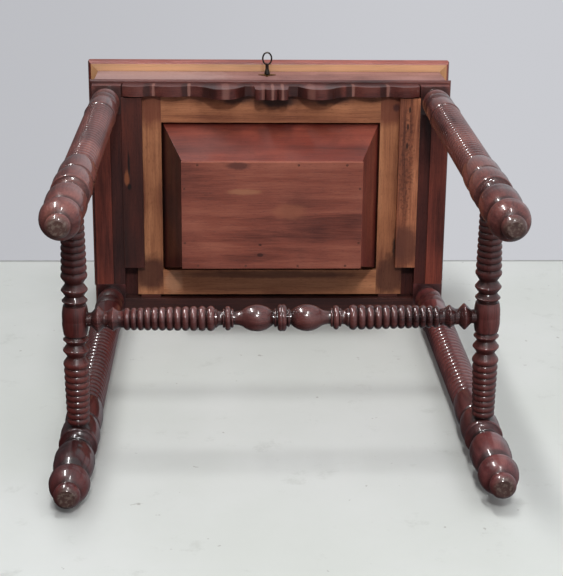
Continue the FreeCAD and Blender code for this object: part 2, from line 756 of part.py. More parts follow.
def make_lid():
    half_x, half_y = "case_width / 2", "case_depth / 2"
    top = "lid_bottom + lid_thickness"
    blank = board("lid_blank", (f"-{half_x}", half_x), (f"-{half_y}", half_y), ("lid_bottom", top))
    beds = [hinge_bed(f"lid_bed_{across}", across, "lid_bottom", "lid_bottom + leaf_thickness")
            for across in ("left", "right")]
    link_bed = board("link_bed", ("lock_centre - 14", "lock_centre + 38"),
                     (f"{LOCK_BACK} - 13", f"{LOCK_BACK} - 1"), ("lid_bottom", "lid_bottom + 2"))
    keep("lid_board", cut("lid_board", blank, beds + [link_bed, upper_screws, link_screws_tool]))
    plan = board("lid_plan", (f"-{half_x} - lid_out", f"{half_x} + lid_out"),
                 (f"-{half_y} - lid_out", half_y), ("lid_bottom", top))
    doc.recompute()
    front_corners = [
        number for number, edge in enumerate(plan.Shape.Edges, start=1)
        if abs(edge.tangentAt(edge.FirstParameter).z) > 0.9 and edge.CenterOfMass.y < 0
    ]
    rounded = doc.addObject("Part::Fillet", "lid_rounded_plan")
    rounded.Base = plan
    rounding = size("lid_rounding")
    rounded.Edges = [(number, rounding, rounding) for number in front_corners]
    section = nosing_section(size("lid_out"), size("lid_thickness"))
    for label, run, mitres, turn in (
        ("lid_edge_front", "case_width", (-1, 1), 0),
        ("lid_edge_left", "case_depth", (1,), -90),
        ("lid_edge_right", "case_depth", (-1,), 90),
    ):
        strip = moulding(label + "_strip", section, run, "lid_out", mitres, turn)
        x = {0: "0", -90: f"-{half_x}", 90: half_x}[turn]
        place(strip, x, f"-{half_y}" if turn == 0 else "0", "lid_bottom")
        trimmed = doc.addObject("Part::Common", label)
        trimmed.Base = strip
        trimmed.Tool = rounded
        keep(label, trimmed)


# ---------------------------------------------------------------- drawer

def front_outline():
    """The scalloped drawer front: lobes, ogees and a hanging centre, drawn from the right end to
    the left and closed along the straight top."""
    end = size("case_width") / 2 - size("post") - 2
    low, notch, hanging = size("front_low"), size("front_notch"), size("pendant_low")
    ogee, rise = size("ogee_low"), notch - 1.6
    half = [
        (end, rise), ((end - 17, low), (168.7, rise)), (164.5, notch), (160.4, notch), (157.7, rise),
        ((137, low), (116.4, rise)), (113.6, notch), (111, notch), ((100, notch - 3.4), (86, ogee + 11)),
        ((62, ogee), (46, ogee + 10)), (39, notch - 5), (36.5, notch), (23.5, notch),
        (22.6, hanging + 9), ((15.4, hanging), (8.4, hanging + 5)),
    ]
    centre = ((0, hanging - 0.4), (-8.4, hanging + 5))
    other_half = mirrored(half[0], half[1:], lambda at: (-at[0], at[1]))
    top = size("opening_top") - size("drawer_gap")
    return [(end, top)] + half + [centre] + other_half + [(-end, top), (end, top)]


def make_drawer():
    low, high = "frame_bottom", "opening_top - drawer_gap"
    back = "-case_depth / 2 + front_thickness"
    body = doc.addObject("PartDesign::Body", "drawer_front")
    sketch = new_sketch(body, "XZ_Plane", "drawer_front_outline")
    draw(sketch, front_outline())
    pad = body.newObject("PartDesign::Pad", "drawer_front_board")
    pad.Profile = sketch
    bind(pad, Length="front_thickness")
    place(body, 0, back, 0)
    keep("drawer_front", body)
    for across in ("left", "right"):
        keep(f"drawer_stile_{across}",
             board(f"drawer_stile_{across}", span(side_sign(across), "opening_half", "frame_half"),
                   (back, "frame_rear"), (low, high)))
    for label, y in (("front", (back, "opening_front")), ("rear", ("opening_rear", "frame_rear"))):
        keep(f"drawer_rail_{label}",
             board(f"drawer_rail_{label}", ("-opening_half", "opening_half"), y, (low, high)))


def hopper_plan(height_share, inset):
    """Corners of the hopper's plan, drawn in by the inset, at a share of the slope (0 top, 1 foot)."""
    drawn_in = size("hopper_inset") * height_share + inset
    x = size("opening_half") - drawn_in
    front = size("opening_front") + size("hopper_front_inset") * height_share + inset
    rear = size("opening_rear") - drawn_in
    return {"front_left": (-x, front), "front_right": (x, front), "rear_right": (x, rear),
            "rear_left": (-x, rear)}


def make_hopper():
    foot = size("hopper_bottom") + size("hopper_floor")
    top = size("opening_top") - size("drawer_gap")
    wall = size("hopper_wall")
    for side, corners in (
        ("front", ("front_left", "front_right")), ("right", ("front_right", "rear_right")),
        ("rear", ("rear_right", "rear_left")), ("left", ("rear_left", "front_left")),
    ):
        name = f"hopper_{side}"
        body = doc.addObject("PartDesign::Body", name + "_blank")
        rims = []
        for share, height in ((1, foot), (0, top)):
            outer, inner = hopper_plan(share, 0), hopper_plan(share, wall)
            rim = new_sketch(body, "XY_Plane", f"{name}_rim_{share}")
            rim.AttachmentOffset = Placement(Vector(0, 0, height), Rotation())
            draw(rim, [outer[corners[0]], outer[corners[1]], inner[corners[1]], inner[corners[0]],
                       outer[corners[0]]])
            rims.append(rim)
        loft = body.newObject("PartDesign::AdditiveLoft", name + "_board")
        loft.Profile = rims[0]
        loft.Sections = [rims[1]]
        loft.Ruled = True
        place(body)
        keep(name, cut(name, body, [hopper_nails]))
    inset = "opening_half - hopper_inset + 0.8"
    bottom = board("hopper_bottom_blank", (f"-({inset})", inset),
                   ("opening_front + hopper_front_inset - 0.8", "opening_rear - hopper_inset + 0.8"),
                   ("hopper_bottom", "hopper_bottom + hopper_floor"))
    keep("hopper_bottom", cut("hopper_bottom", bottom, [hopper_nails]))


def make_hopper_nails():
    """Nails through the bottom board into the lower edges of the four walls."""
    x_edge = size("opening_half") - size("hopper_inset") - 3
    y_front = size("opening_front") + size("hopper_front_inset") + 3
    y_rear = size("opening_rear") - size("hopper_inset") - 3
    y_middle = (y_front + y_rear) / 2
    spots = [(x, y) for x in (-0.85 * x_edge, -0.3 * x_edge, 0.3 * x_edge, 0.85 * x_edge)
             for y in (y_front, y_rear)]
    spots += [(x, y_middle + step) for x in (-x_edge, x_edge) for step in (-38, 38)]
    return screws("hopper_nails", [(x, y, size("hopper_bottom"), 1) for x, y in spots], 16, 1.8)


# ---------------------------------------------------------------- whole table

def check_and_write():
    doc.recompute()
    for thing in doc.Objects:
        if "Invalid" in thing.State or "Error" in thing.State:
            raise RuntimeError(f"{thing.Name}: {thing.State}")
    for label, thing in nodes.items():
        if thing.Shape.isNull() or not thing.Shape.isValid() or not thing.Shape.Solids:
            raise RuntimeError(f"{label}: bad shape")
    os.makedirs("parts", exist_ok=True)
    for label, thing in nodes.items():
        thing.Shape.exportStep(f"parts/{label}.step")
        print(label, len(thing.Shape.Solids), round(thing.Shape.Volume))


lower_screws = screws("hinge_screws_lower", hinge_screw_places("box_top", -1), 11, 1.9)
upper_screws = screws("hinge_screws_upper", hinge_screw_places("lid_bottom", 1), 11, 1.9)
keep("hinge_screws_lower", lower_screws)
keep("hinge_screws_upper", upper_screws)
lock_screws_tool = screws(
    "lock_screws",
    [(f"lock_centre + {x}", f"{LOCK_BACK} - 7.5", "box_top", -1) for x in (-33, 33)], 12, 1.9)
link_screws_tool = screws(
    "link_screws", [(f"lock_centre + {x}", f"{LOCK_BACK} - 7", "lid_bottom", 1) for x in (-9, 32)], 11, 1.9)
hopper_nails = make_hopper_nails()
keep("hopper_nails", hopper_nails)
make_tenons()
make_legs_and_stretchers()
make_lower_case()
make_mouldings()
make_box()
make_hinges()
make_lock()
make_lid()
make_drawer()
make_hopper()
check_and_write()
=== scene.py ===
import json

import bpy
from mathutils import Matrix, Vector


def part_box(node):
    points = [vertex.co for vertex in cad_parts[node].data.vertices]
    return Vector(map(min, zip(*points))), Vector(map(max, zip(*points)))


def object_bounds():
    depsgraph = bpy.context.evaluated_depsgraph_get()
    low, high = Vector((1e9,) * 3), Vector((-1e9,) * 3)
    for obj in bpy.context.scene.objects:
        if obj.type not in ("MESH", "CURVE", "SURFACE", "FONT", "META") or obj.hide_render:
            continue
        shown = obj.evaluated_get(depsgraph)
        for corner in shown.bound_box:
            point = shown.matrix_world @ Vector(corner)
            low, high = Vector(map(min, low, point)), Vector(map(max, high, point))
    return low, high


# Looks of the sewing table. Metres, in the frame of the CAD model: +Z up, the front towards -Y.
# The tones were fitted to one view, from below, so they hold some of that view's light and shade.

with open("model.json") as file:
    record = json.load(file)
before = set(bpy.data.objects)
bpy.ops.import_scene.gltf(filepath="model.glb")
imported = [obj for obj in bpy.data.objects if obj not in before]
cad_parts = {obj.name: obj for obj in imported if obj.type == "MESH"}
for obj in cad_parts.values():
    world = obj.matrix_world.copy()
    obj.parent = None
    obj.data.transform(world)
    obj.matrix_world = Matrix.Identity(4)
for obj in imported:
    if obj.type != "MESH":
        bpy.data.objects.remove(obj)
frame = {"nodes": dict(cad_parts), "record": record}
cad_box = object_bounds()

AXES = {"x": 0, "y": 1, "z": 2}

# Sockets of the Mix node when it mixes two colours.
MIX_SHARE, MIX_FIRST, MIX_SECOND, MIX_RESULT = 0, 6, 7, 2

# How finely the noises vary, in waves to the metre.
WANDER_WAVES, BLOTCH_WAVES, PATCH_EDGE_WAVES, FLECK_WAVES = 9, 16, 70, 260

PATCH_RAGGED = 0.35        # how far the edge of a patch wanders, as a share of its size
WOOD_ROUND_OVER = 0.0006   # radius of a softened edge
METAL_ROUND_OVER = 0.0004
TARNISH = 0.5

# Colours, 0 to 255.
# Hollows darken to the first, grime and painted shade; the dark rings of painted shade use the
# second.
GRIME_AND_SHADE, RING_SHADE, METAL_GRIME = (22, 10, 8), (30, 14, 13), (20, 14, 10)


def srgb(red, green, blue):
    """A colour as the eye names it, 0 to 255, as the light that a shader wants."""
    return tuple((channel / 255) ** 2.2 for channel in (red, green, blue)) + (1.0,)


def shade_of(colour, share):
    """The colour with its light at a share of what it was, and never over full."""
    return tuple(min(1, share * channel) for channel in colour[:3]) + (1.0,)


# ---------------------------------------------------------------- node recipes

class Recipe:
    """A material built up in small steps. Each step returns the socket that holds its result."""

    def __init__(self, name):
        self.material = bpy.data.materials.new(name)
        self.material.use_nodes = True
        self.tree = self.material.node_tree
        self.shader = self.tree.nodes["Principled BSDF"]
        place = self.add("ShaderNodeTexCoord")
        self.place = place.outputs["Object"]
        self.facing = place.outputs["Normal"]

    def add(self, kind, **settings):
        node = self.tree.nodes.new(kind)
        for name, value in settings.items():
            setattr(node, name, value)
        return node

    def feed(self, socket, value):
        if isinstance(value, bpy.types.NodeSocket):
            self.tree.links.new(value, socket)
        else:
            socket.default_value = value

    def sum(self, operation, first, second=0.0):
        node = self.add("ShaderNodeMath", operation=operation)
        self.feed(node.inputs[0], first)
        self.feed(node.inputs[1], second)
        return node.outputs[0]

    def times(self, first, second):
        return self.sum("MULTIPLY", first, second)

    def vector(self, operation, first, second):
        node = self.add("ShaderNodeVectorMath", operation=operation)
        self.feed(node.inputs[0], first)
        self.feed(node.inputs[1], second)
        return node.outputs["Value" if operation in ("LENGTH", "DOT_PRODUCT") else "Vector"]

    def part(self, vector, axis):
        node = self.add("ShaderNodeSeparateXYZ")
        self.feed(node.inputs[0], vector)
        return node.outputs[AXES[axis]]

    def stretched(self, grain, along, across):
        """The place, counted in waves: so many to the metre along the grain, and across it."""
        waves = [across] * 3
        waves[AXES[grain]] = along
        return self.vector("MULTIPLY", self.place, waves)

    def noise(self, vector, scale=1.0, detail=3.0, roughness=0.5, distortion=0.0):
        node = self.add("ShaderNodeTexNoise")
        self.feed(node.inputs["Vector"], vector)
        node.inputs["Scale"].default_value = scale
        node.inputs["Detail"].default_value = detail
        node.inputs["Roughness"].default_value = roughness
        node.inputs["Distortion"].default_value = distortion
        return node.outputs["Fac"]

    def step(self, value, low, high, start=0.0, end=1.0):
        """Goes smoothly from start to end as the value goes from low to high."""
        node = self.add("ShaderNodeMapRange", interpolation_type="SMOOTHSTEP")
        self.feed(node.inputs["Value"], value)
        node.inputs["From Min"].default_value = low
        node.inputs["From Max"].default_value = high
        node.inputs["To Min"].default_value = start
        node.inputs["To Max"].default_value = end
        return node.outputs["Result"]

    def ramp(self, value, stops):
        node = self.add("ShaderNodeValToRGB")
        self.feed(node.inputs["Fac"], value)
        points = node.color_ramp.elements
        while len(points) < len(stops):
            points.new(0.5)
        for point, (position, colour) in zip(points, stops):
            point.position = position
            point.color = colour
        return node.outputs["Color"]

    def mix(self, share, first, second):
        node = self.add("ShaderNodeMix", data_type="RGBA")
        self.feed(node.inputs[MIX_SHARE], share)
        self.feed(node.inputs[MIX_FIRST], first)
        self.feed(node.inputs[MIX_SECOND], second)
        return node.outputs[MIX_RESULT]

    def cavity(self, reach):
        """1 deep in a groove or corner, 0 in the open."""
        node = self.add("ShaderNodeAmbientOcclusion", samples=6)
        node.inputs["Distance"].default_value = reach
        return self.sum("SUBTRACT", 1.0, node.outputs["AO"])

    def soft_edges(self, radius):
        """The surface's direction, with its edges rounded over by the radius."""
        node = self.add("ShaderNodeBevel", samples=4)
        node.inputs["Radius"].default_value = radius
        return node.outputs["Normal"]

    def edges(self, rounded):
        """1 on an edge, 0 on a flat face."""
        flat = self.add("ShaderNodeNewGeometry").outputs["Normal"]
        return self.step(self.vector("DOT_PRODUCT", rounded, flat), 0.999, 0.86)

    def blot(self, at, size):
        """A soft patch round a point, 1 in its middle, with a wandering edge."""
        offset = self.vector("SUBTRACT", self.place, at)
        shares = self.vector("MULTIPLY", offset, [1 / reach for reach in size])
        away = self.vector("LENGTH", shares, (0, 0, 0))
        wander = self.times(self.noise(self.place, PATCH_EDGE_WAVES, 3), 2 * PATCH_RAGGED)
        inside, outside = 0.55 + PATCH_RAGGED, 1.15 + PATCH_RAGGED
        return self.step(self.sum("ADD", away, wander), inside, outside, 1.0, 0.0)

    def bump(self, height, strength, depth, under=None):
        node = self.add("ShaderNodeBump")
        node.inputs["Strength"].default_value = strength
        node.inputs["Distance"].default_value = depth
        self.feed(node.inputs["Height"], height)
        if under is not None:
            self.feed(node.inputs["Normal"], under)
        return node.outputs["Normal"]


def spot(node, share):
    """A point in a CAD node's box, at a share of its length along each axis."""
    low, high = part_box(node)
    return tuple(low[axis] + (high[axis] - low[axis]) * share[axis] for axis in range(3))


# ---------------------------------------------------------------- wood

def wood_grain(recipe, grain, figure):
    """How light the wood is at each place, around 0.5, and its fibres and pores."""
    wander = recipe.noise(recipe.place, WANDER_WAVES, 2)
    bands = recipe.noise(recipe.stretched(grain, 3.2, 46), detail=4, roughness=0.62,
                         distortion=0.55)
    fibre = recipe.noise(recipe.stretched(grain, 26, 820), detail=3, roughness=0.6)
    pores = recipe.step(recipe.noise(recipe.stretched(grain, 150, 2300), detail=1), 0.6, 0.72)
    value = recipe.sum("MULTIPLY_ADD", recipe.sum("SUBTRACT", bands, 0.5), 1.1 * figure)
    value.node.inputs[2].default_value = 0.5
    for layer, share in ((fibre, 0.5), (wander, 0.7)):
        value = recipe.sum("ADD", value, recipe.times(recipe.sum("SUBTRACT", layer, 0.5), share))
    return value, fibre, pores


def wood_marks(recipe, colour, patches, flecks, shade_rings):
    """The colour with the patches, then the flecks, then the bands of painted shade laid over it.
    """
    for at, size, tone, strength in patches:
        colour = recipe.mix(recipe.times(recipe.blot(at, size), strength), colour, srgb(*tone))
    for at, size, tone, strength in flecks:
        marks = recipe.step(recipe.noise(recipe.place, FLECK_WAVES, 3, 0.6), 0.47, 0.62)
        amount = recipe.times(recipe.times(recipe.blot(at, size), marks), strength)
        colour = recipe.mix(amount, colour, srgb(*tone))
    for height, half, strength in shade_rings:
        above = recipe.sum("SUBTRACT", recipe.part(recipe.place, "z"), height)
        band = recipe.step(recipe.sum("ABSOLUTE", above), 0.4 * half, half, strength, 0.0)
        colour = recipe.mix(band, colour, srgb(*RING_SHADE))
    return colour


def wood(name, grain, tones, gloss=0.3, varnish=0.5, figure=1.0, grime_and_shade=0.6, edge_wear_and_highlight=0.3,
         patches=(), flecks=(), shade_rings=(), bare=None, polish=0.1, groove=(0.006, 0.25, 0.85)):
    """Wood with its grain along one axis. tones are dark, middle and light. A patch is
    (point, size, colour, strength), and flecks are the same but broken up into small marks.
    A ring is a dark band of painted shade (height, half width, strength). bare is the tone of
    unvarnished faces that look down. gloss is the roughness of the wood, varnish the weight of the
    coat on it, and polish the roughness of that coat. groove is how far the darkening of hollows
    reaches, and how shut in a place is where it starts and where it is full; that darkening is
    grime and painted shade. The lighter edges are worn wood and, on the hopper floor, a painted
    highlight."""
    recipe = Recipe(name)
    dark, middle, light = (srgb(*tone) for tone in tones)
    value, fibre, pores = wood_grain(recipe, grain, figure)
    blotches = recipe.noise(recipe.place, BLOTCH_WAVES, 4, 0.55)
    colour = recipe.ramp(value, [(0.22, dark), (0.5, middle), (0.8, light)])
    colour = recipe.mix(recipe.step(blotches, 0.5, 0.75, 0.0, 0.35), colour, dark)
    colour = recipe.mix(recipe.times(pores, 0.45), colour, shade_of(dark, 0.35))
    colour = wood_marks(recipe, colour, patches, flecks, shade_rings)
    if bare is not None:
        light_bare = srgb(*bare)
        dark_bare = shade_of(light_bare, 0.72)
        bare_tone = recipe.mix(recipe.step(value, 0.25, 0.75), dark_bare, light_bare)
        looks_down = recipe.step(recipe.part(recipe.facing, "z"), -0.97, -0.995)
        colour = recipe.mix(looks_down, colour, bare_tone)
    rounded = recipe.soft_edges(WOOD_ROUND_OVER)
    # Lighter edges: worn wood, and on the hopper floor a painted highlight.
    worn = recipe.times(recipe.edges(rounded), recipe.step(blotches, 0.35, 0.65, 0.3, 1.0))
    colour = recipe.mix(recipe.times(worn, edge_wear_and_highlight), colour, shade_of(light, 1.9))
    # Darker hollows: grime and painted shade.
    reach, starts, full = groove
    hollow = recipe.step(recipe.cavity(reach), starts, full)
    colour = recipe.mix(recipe.times(hollow, grime_and_shade), colour, srgb(*GRIME_AND_SHADE))
    recipe.feed(recipe.shader.inputs["Base Color"], colour)
    rough = recipe.sum("ADD", recipe.step(blotches, 0.35, 0.7, gloss, gloss + 0.16),
                       recipe.times(pores, 0.2))
    recipe.feed(recipe.shader.inputs["Roughness"], rough)
    recipe.shader.inputs["Coat Weight"].default_value = varnish
    recipe.shader.inputs["Coat Roughness"].default_value = polish
    relief = recipe.sum("SUBTRACT", recipe.times(fibre, 0.5), pores)
    recipe.feed(recipe.shader.inputs["Normal"], recipe.bump(relief, 0.35, 0.0003, rounded))
    return recipe.material


# ---------------------------------------------------------------- metal

def metal(name, tone, stain, roughness=0.35, metallic=1.0):
    """Metal of one tone, clouded with a stain that is also duller."""
    recipe = Recipe(name)
    cloud = recipe.noise(recipe.place, 180, 5, 0.6)
    scratches = recipe.noise(recipe.stretched("x", 90, 2600), detail=2)
    dull = recipe.step(cloud, 0.42, 0.66)
    colour = recipe.mix(recipe.times(dull, TARNISH), srgb(*tone), srgb(*stain))
    hollow = recipe.step(recipe.cavity(0.003), 0.3, 0.9)
    colour = recipe.mix(recipe.times(hollow, 0.6), colour, srgb(*METAL_GRIME))
    recipe.feed(recipe.shader.inputs["Base Color"], colour)
    recipe.shader.inputs["Metallic"].default_value = metallic
    recipe.feed(recipe.shader.inputs["Roughness"],
                recipe.step(dull, 0.0, 1.0, roughness, min(0.9, roughness + 0.3)))
    rounded = recipe.soft_edges(METAL_ROUND_OVER)
    relief = recipe.sum("ADD", recipe.times(scratches, 0.3), cloud)
    recipe.feed(recipe.shader.inputs["Normal"], recipe.bump(relief, 0.3, 0.0002, rounded))
    return recipe.material


# ---------------------------------------------------------------- finishes of the nodes

# Wood tones: dark, middle and light, as colours 0 to 255.
MAHOGANY = ((62, 28, 26), (104, 54, 48), (134, 76, 64))
SCALLOPED = ((56, 24, 22), (94, 48, 43), (122, 68, 58))
# Turned tones below: one wood, lighter or darker by the light on each piece: painted light and
# shade.
FRONT_TURNED = ((64, 28, 28), (114, 63, 58), (147, 89, 78))
REAR_LEFT_TURNED = ((50, 17, 18), (86, 34, 34), (110, 52, 48))
REAR_RIGHT_TURNED = ((60, 25, 27), (104, 53, 53), (132, 76, 72))
LEFT_TURNED = ((60, 24, 22), (98, 44, 40), (122, 60, 51))
RIGHT_TURNED = ((68, 30, 28), (112, 58, 54), (138, 78, 69))
CROSS_TURNED = ((54, 26, 26), (100, 56, 53), (130, 80, 74))
GUIDE = ((46, 17, 15), (72, 31, 26), (98, 44, 34))
STAINED = ((46, 18, 15), (73, 33, 26), (100, 46, 34))
APRON = ((74, 31, 25), (130, 60, 47), (166, 82, 61))
RED = ((92, 36, 30), (132, 60, 48), (160, 84, 66))
REAR_APRON = ((40, 18, 16), (68, 34, 29), (90, 48, 40))
# HOPPER_FRONT, SHADED and RED_BROWN are the hopper walls' wood made darker than HOPPER: painted
# shade.
HOPPER_FRONT = ((76, 32, 26), (118, 53, 42), (144, 72, 56))
HOPPER = ((92, 45, 37), (142, 76, 61), (170, 100, 80))
EDGE = ((110, 52, 46), (152, 84, 74), (178, 108, 94))
SHADED = ((48, 19, 18), (81, 36, 32), (103, 50, 44))
RED_BROWN = ((82, 32, 27), (119, 52, 44), (145, 70, 57))
# SHEEN is a lighter, pinker copy of MAHOGANY: a painted reflection of the varnish.
SHEEN = ((98, 58, 57), (144, 98, 94), (172, 126, 120))
PALE = ((118, 65, 45), (176, 112, 76), (210, 142, 100))
WORN = ((90, 46, 34), (158, 92, 64), (214, 138, 98))
TRAY = ((122, 78, 52), (168, 118, 82), (196, 146, 104))
BOX_FLOOR = ((96, 62, 44), (128, 88, 62), (150, 108, 78))


def finish(material, *nodes):
    for node in nodes:
        piece = frame["nodes"][node]
        piece.data.materials.clear()
        piece.data.materials.append(material)


def finish_legs():
    """The turnings: varnished, grime and painted shade in the grooves, rings of painted shade, and
    bare worn ends on the feet.
    """
    turned = {"gloss": 0.3, "varnish": 0.9, "edge_wear_and_highlight": 0.12, "polish": 0.05, "grime_and_shade": 0.75,
              "groove": (0.012, 0.03, 0.22)}
    # Rings of painted shade at the necks of the turnings and below the box.
    shade_rings = [(0.0425, 0.003, 0.6), (0.054, 0.009, 0.7), (0.119, 0.004, 0.6), (0.1375, 0.003, 0.5),
             (0.180, 0.004, 0.6), (0.585, 0.026, 0.5)]
    feet = {mount["name"]: tuple(mount["pos_m"]) for mount in frame["record"]["mounts"]}
    # Each leg and stretcher takes its own tone, lighter or darker as the light fell on it: painted
    # light and shade.
    for corner, tones in (("front_left", FRONT_TURNED), ("front_right", FRONT_TURNED),
                          ("rear_left", REAR_LEFT_TURNED), ("rear_right", REAR_RIGHT_TURNED)):
        foot = feet["foot_" + corner]
        worn = [(foot, (0.015, 0.015, 0.009), (74, 55, 49), 0.85)]
        specks = [(foot, (0.013, 0.013, 0.009), (140, 124, 112), 0.45)]
        finish(wood(f"leg_{corner}_wood", "z", tones, patches=worn, flecks=specks, shade_rings=shade_rings,
                    **turned), "leg_" + corner)
    for side, tones in (("left", LEFT_TURNED), ("right", RIGHT_TURNED)):
        finish(wood(f"{side}_stretcher_wood", "y", tones, **turned), "side_stretcher_" + side)
    shinier = {**turned, "gloss": 0.2, "varnish": 1.0, "polish": 0.04}
    finish(wood("cross_stretcher_wood", "x", CROSS_TURNED, **shinier), "cross_stretcher")


def finish_case():
    """The box, its base bead and aprons, and the tray in it. The sheen is painted light: it
    stands in for a reflection in the varnish, and is wrong in other light."""
    sheen = [(spot("box_front", (0.12, 0.0, 0.5)), (0.14, 0.02, 0.06), (176, 146, 142), 0.6)]
    # The box front and back take SHEEN, a painted reflection, besides the sheen patch.
    finish(wood("case_wood", "x", SHEEN, gloss=0.42, varnish=0.25, edge_wear_and_highlight=0.1, patches=sheen),
           "box_front", "box_back")
    finish(wood("case_side_wood", "y", MAHOGANY, gloss=0.2, varnish=0.7, edge_wear_and_highlight=0.15),
           "box_left", "box_right")
    finish(wood("base_bead_wood", "x", MAHOGANY, gloss=0.42, varnish=0.2),
           "base_bead_front", "front_rail")
    finish(wood("side_bead_wood", "y", MAHOGANY, gloss=0.16, varnish=0.8),
           "base_bead_left", "base_bead_right")
    finish(wood("apron_wood", "y", APRON, gloss=0.4, varnish=0.2), "apron_left", "apron_right")
    finish(wood("rear_apron_wood", "x", REAR_APRON, gloss=0.5, varnish=0.1), "apron_rear")
    finish(wood("guide_wood", "y", GUIDE, gloss=0.55, varnish=0.05),
           "drawer_guide_left", "drawer_guide_right", "kicker_left", "kicker_right")
    finish(wood("stop_wood", "x", STAINED, gloss=0.6, varnish=0.0), "drawer_stops")
    finish_runners()
    finish(wood("box_floor_wood", "x", BOX_FLOOR, gloss=0.5, varnish=0.05), "box_floor")
    finish(wood("tray_rail_wood", "x", TRAY, gloss=0.45, varnish=0.1), "tray_rail")
    finish(wood("tray_divider_wood", "y", TRAY, gloss=0.45, varnish=0.1),
           "tray_dividers_front", "tray_dividers_rear")


def finish_runners():
    """The left runner is dark with one fresh split; the right one is rubbed bare and pitted.
    Both are colour only."""
    under = spot("runner_left", (0, 0, 0))[2]
    splits = [((-0.1995, -0.0224, under), (0.004, 0.013, 0.006), (140, 80, 50), 0.9),
              ((-0.1965, -0.040, under), (0.0015, 0.02, 0.006), (22, 12, 10), 0.9),
              ((-0.1965, -0.0095, under), (0.003, 0.005, 0.006), (24, 12, 10), 0.9)]
    finish(wood("left_runner_wood", "y", STAINED, gloss=0.5, varnish=0.1, patches=splits),
           "runner_left")
    repairs = [((0.191, 0.077, under), (0.022, 0.034, 0.01), (100, 56, 43), 0.85)]
    repairs += [((x, y, under), (0.0016, 0.005, 0.004), (34, 20, 16), 0.9)
                for x, y in ((0.1909, -0.119), (0.1889, -0.0952), (0.1885, -0.0684))]
    pits = [((0.1885, -0.04, under), (0.012, 0.10, 0.01), (78, 42, 30), 0.55)]
    finish(wood("right_runner_wood", "y", WORN, gloss=0.6, varnish=0.0, figure=1.5, patches=repairs,
                flecks=pits), "runner_right")


def finish_lid():
    """Varnished on top and round the edge, with bare wood underneath."""
    finish(wood("lid_wood", "x", RED, gloss=0.16, varnish=0.9, bare=(220, 172, 132)), "lid_board")
    finish(wood("lid_front_edge_wood", "x", EDGE, gloss=0.34, varnish=0.2, polish=0.2,
                bare=(226, 172, 128)), "lid_edge_front")
    finish(wood("lid_side_edge_wood", "y", RED, gloss=0.14, varnish=0.9, bare=(216, 156, 108)),
           "lid_edge_left", "lid_edge_right")


def scallop_highlights_and_shade():
    """Pale and dark bands along the scalloped edge: painted highlights on the notches, bulges and
    flutes, and painted shade beside them.
    """
    y, z = spot("drawer_front", (0.5, 0.5, 0.5))[1:]
    # Painted shade beside the notches and bulges.
    dark = [((x, y, z), (width, 0.03, 0.05), (40, 20, 18), 0.7)
            for x, width in ((-0.170, 0.006), (-0.117, 0.007), (-0.084, 0.012), (-0.036, 0.012),
                             (0.034, 0.012), (0.085, 0.014), (0.107, 0.006), (0.153, 0.005))]
    # Painted highlights on the notches, the bulges and the flutes of the middle.
    pale = [((x, y, z), (width, 0.03, 0.05), (160, 112, 100), strength)
            for x, width, strength in (
                (-0.1610, 0.0024, 0.7), (-0.1125, 0.0024, 0.7), (-0.0625, 0.006, 0.4),
                (-0.0115, 0.003, 0.4), (0.0015, 0.0024, 0.6), (0.0150, 0.0024, 0.6),
                (0.0540, 0.006, 0.35), (0.1125, 0.0024, 0.7), (0.1600, 0.0024, 0.7))]
    return dark + pale


def finish_drawer():
    """The scalloped front, the frame and the hopper. The sheen and the scallop shadows on the
    hopper are painted light and shade, and stay in place when the drawer is pulled out."""
    # The scalloped edge carries painted highlights and painted shade.
    finish(wood("drawer_front_wood", "x", SCALLOPED, gloss=0.38, varnish=0.3, edge_wear_and_highlight=0.5,
                patches=scallop_highlights_and_shade()), "drawer_front")
    finish_frame()
    sheen = [(spot("hopper_front", (0.12, 0.5, 0.4)), (0.045, 0.05, 0.05), (138, 92, 86), 0.12)]
    top = spot("hopper_front", (0.5, 0.0, 1.0))
    scallop_shadows = [
        ((x, top[1] + 0.008, top[2] - 0.008), (width, 0.014, 0.016), (84, 30, 26), strength)
        for x, width, strength in (
            (-0.045, 0.030, 0.45), (0.014, 0.030, 0.75), (0.078, 0.030, 0.45))]
    # Painted light and shade on the hopper front: the sheen, three scallop shadows, and a darker
    # tone.
    finish(wood("hopper_front_wood", "x", HOPPER_FRONT, gloss=0.4, varnish=0.2, grime_and_shade=0.4,
                patches=sheen + scallop_shadows), "hopper_front", "hopper_rear")
    # The sides are darker than the hopper floor, the left one much darker: painted shade.
    for side, tones in (("left", SHADED), ("right", RED_BROWN)):
        finish(wood(f"hopper_{side}_wood", "y", tones, gloss=0.45, varnish=0.15, grime_and_shade=0.4),
               "hopper_" + side)
    finish_hopper_floor()


def finish_hopper_floor():
    """A rubbed light streak, a few small dark marks, and lighter edges: wear and a painted
    highlight.
    """
    low = spot("hopper_bottom", (0, 0, 0))[2]
    marks = [((-0.0365, -0.0227, low), (0.028, 0.0045, 0.01), (176, 116, 86), 0.7),
             ((0.0243, 0.0051, low), (0.026, 0.013, 0.01), (164, 98, 72), 0.5),
             ((-0.0159, 0.0658, low), (0.005, 0.003, 0.004), (58, 28, 24), 0.85),
             ((-0.016, 0.0516, low), (0.003, 0.002, 0.004), (58, 28, 24), 0.8),
             ((-0.0459, -0.0585, low), (0.018, 0.006, 0.006), (78, 42, 38), 0.7)]
    # Its high edge wear paints lighter edges: a painted highlight on the lit edges, and wear.
    finish(wood("hopper_floor_wood", "x", HOPPER, gloss=0.42, varnish=0.2, patches=marks, edge_wear_and_highlight=0.7,
                grime_and_shade=0.4), "hopper_bottom")


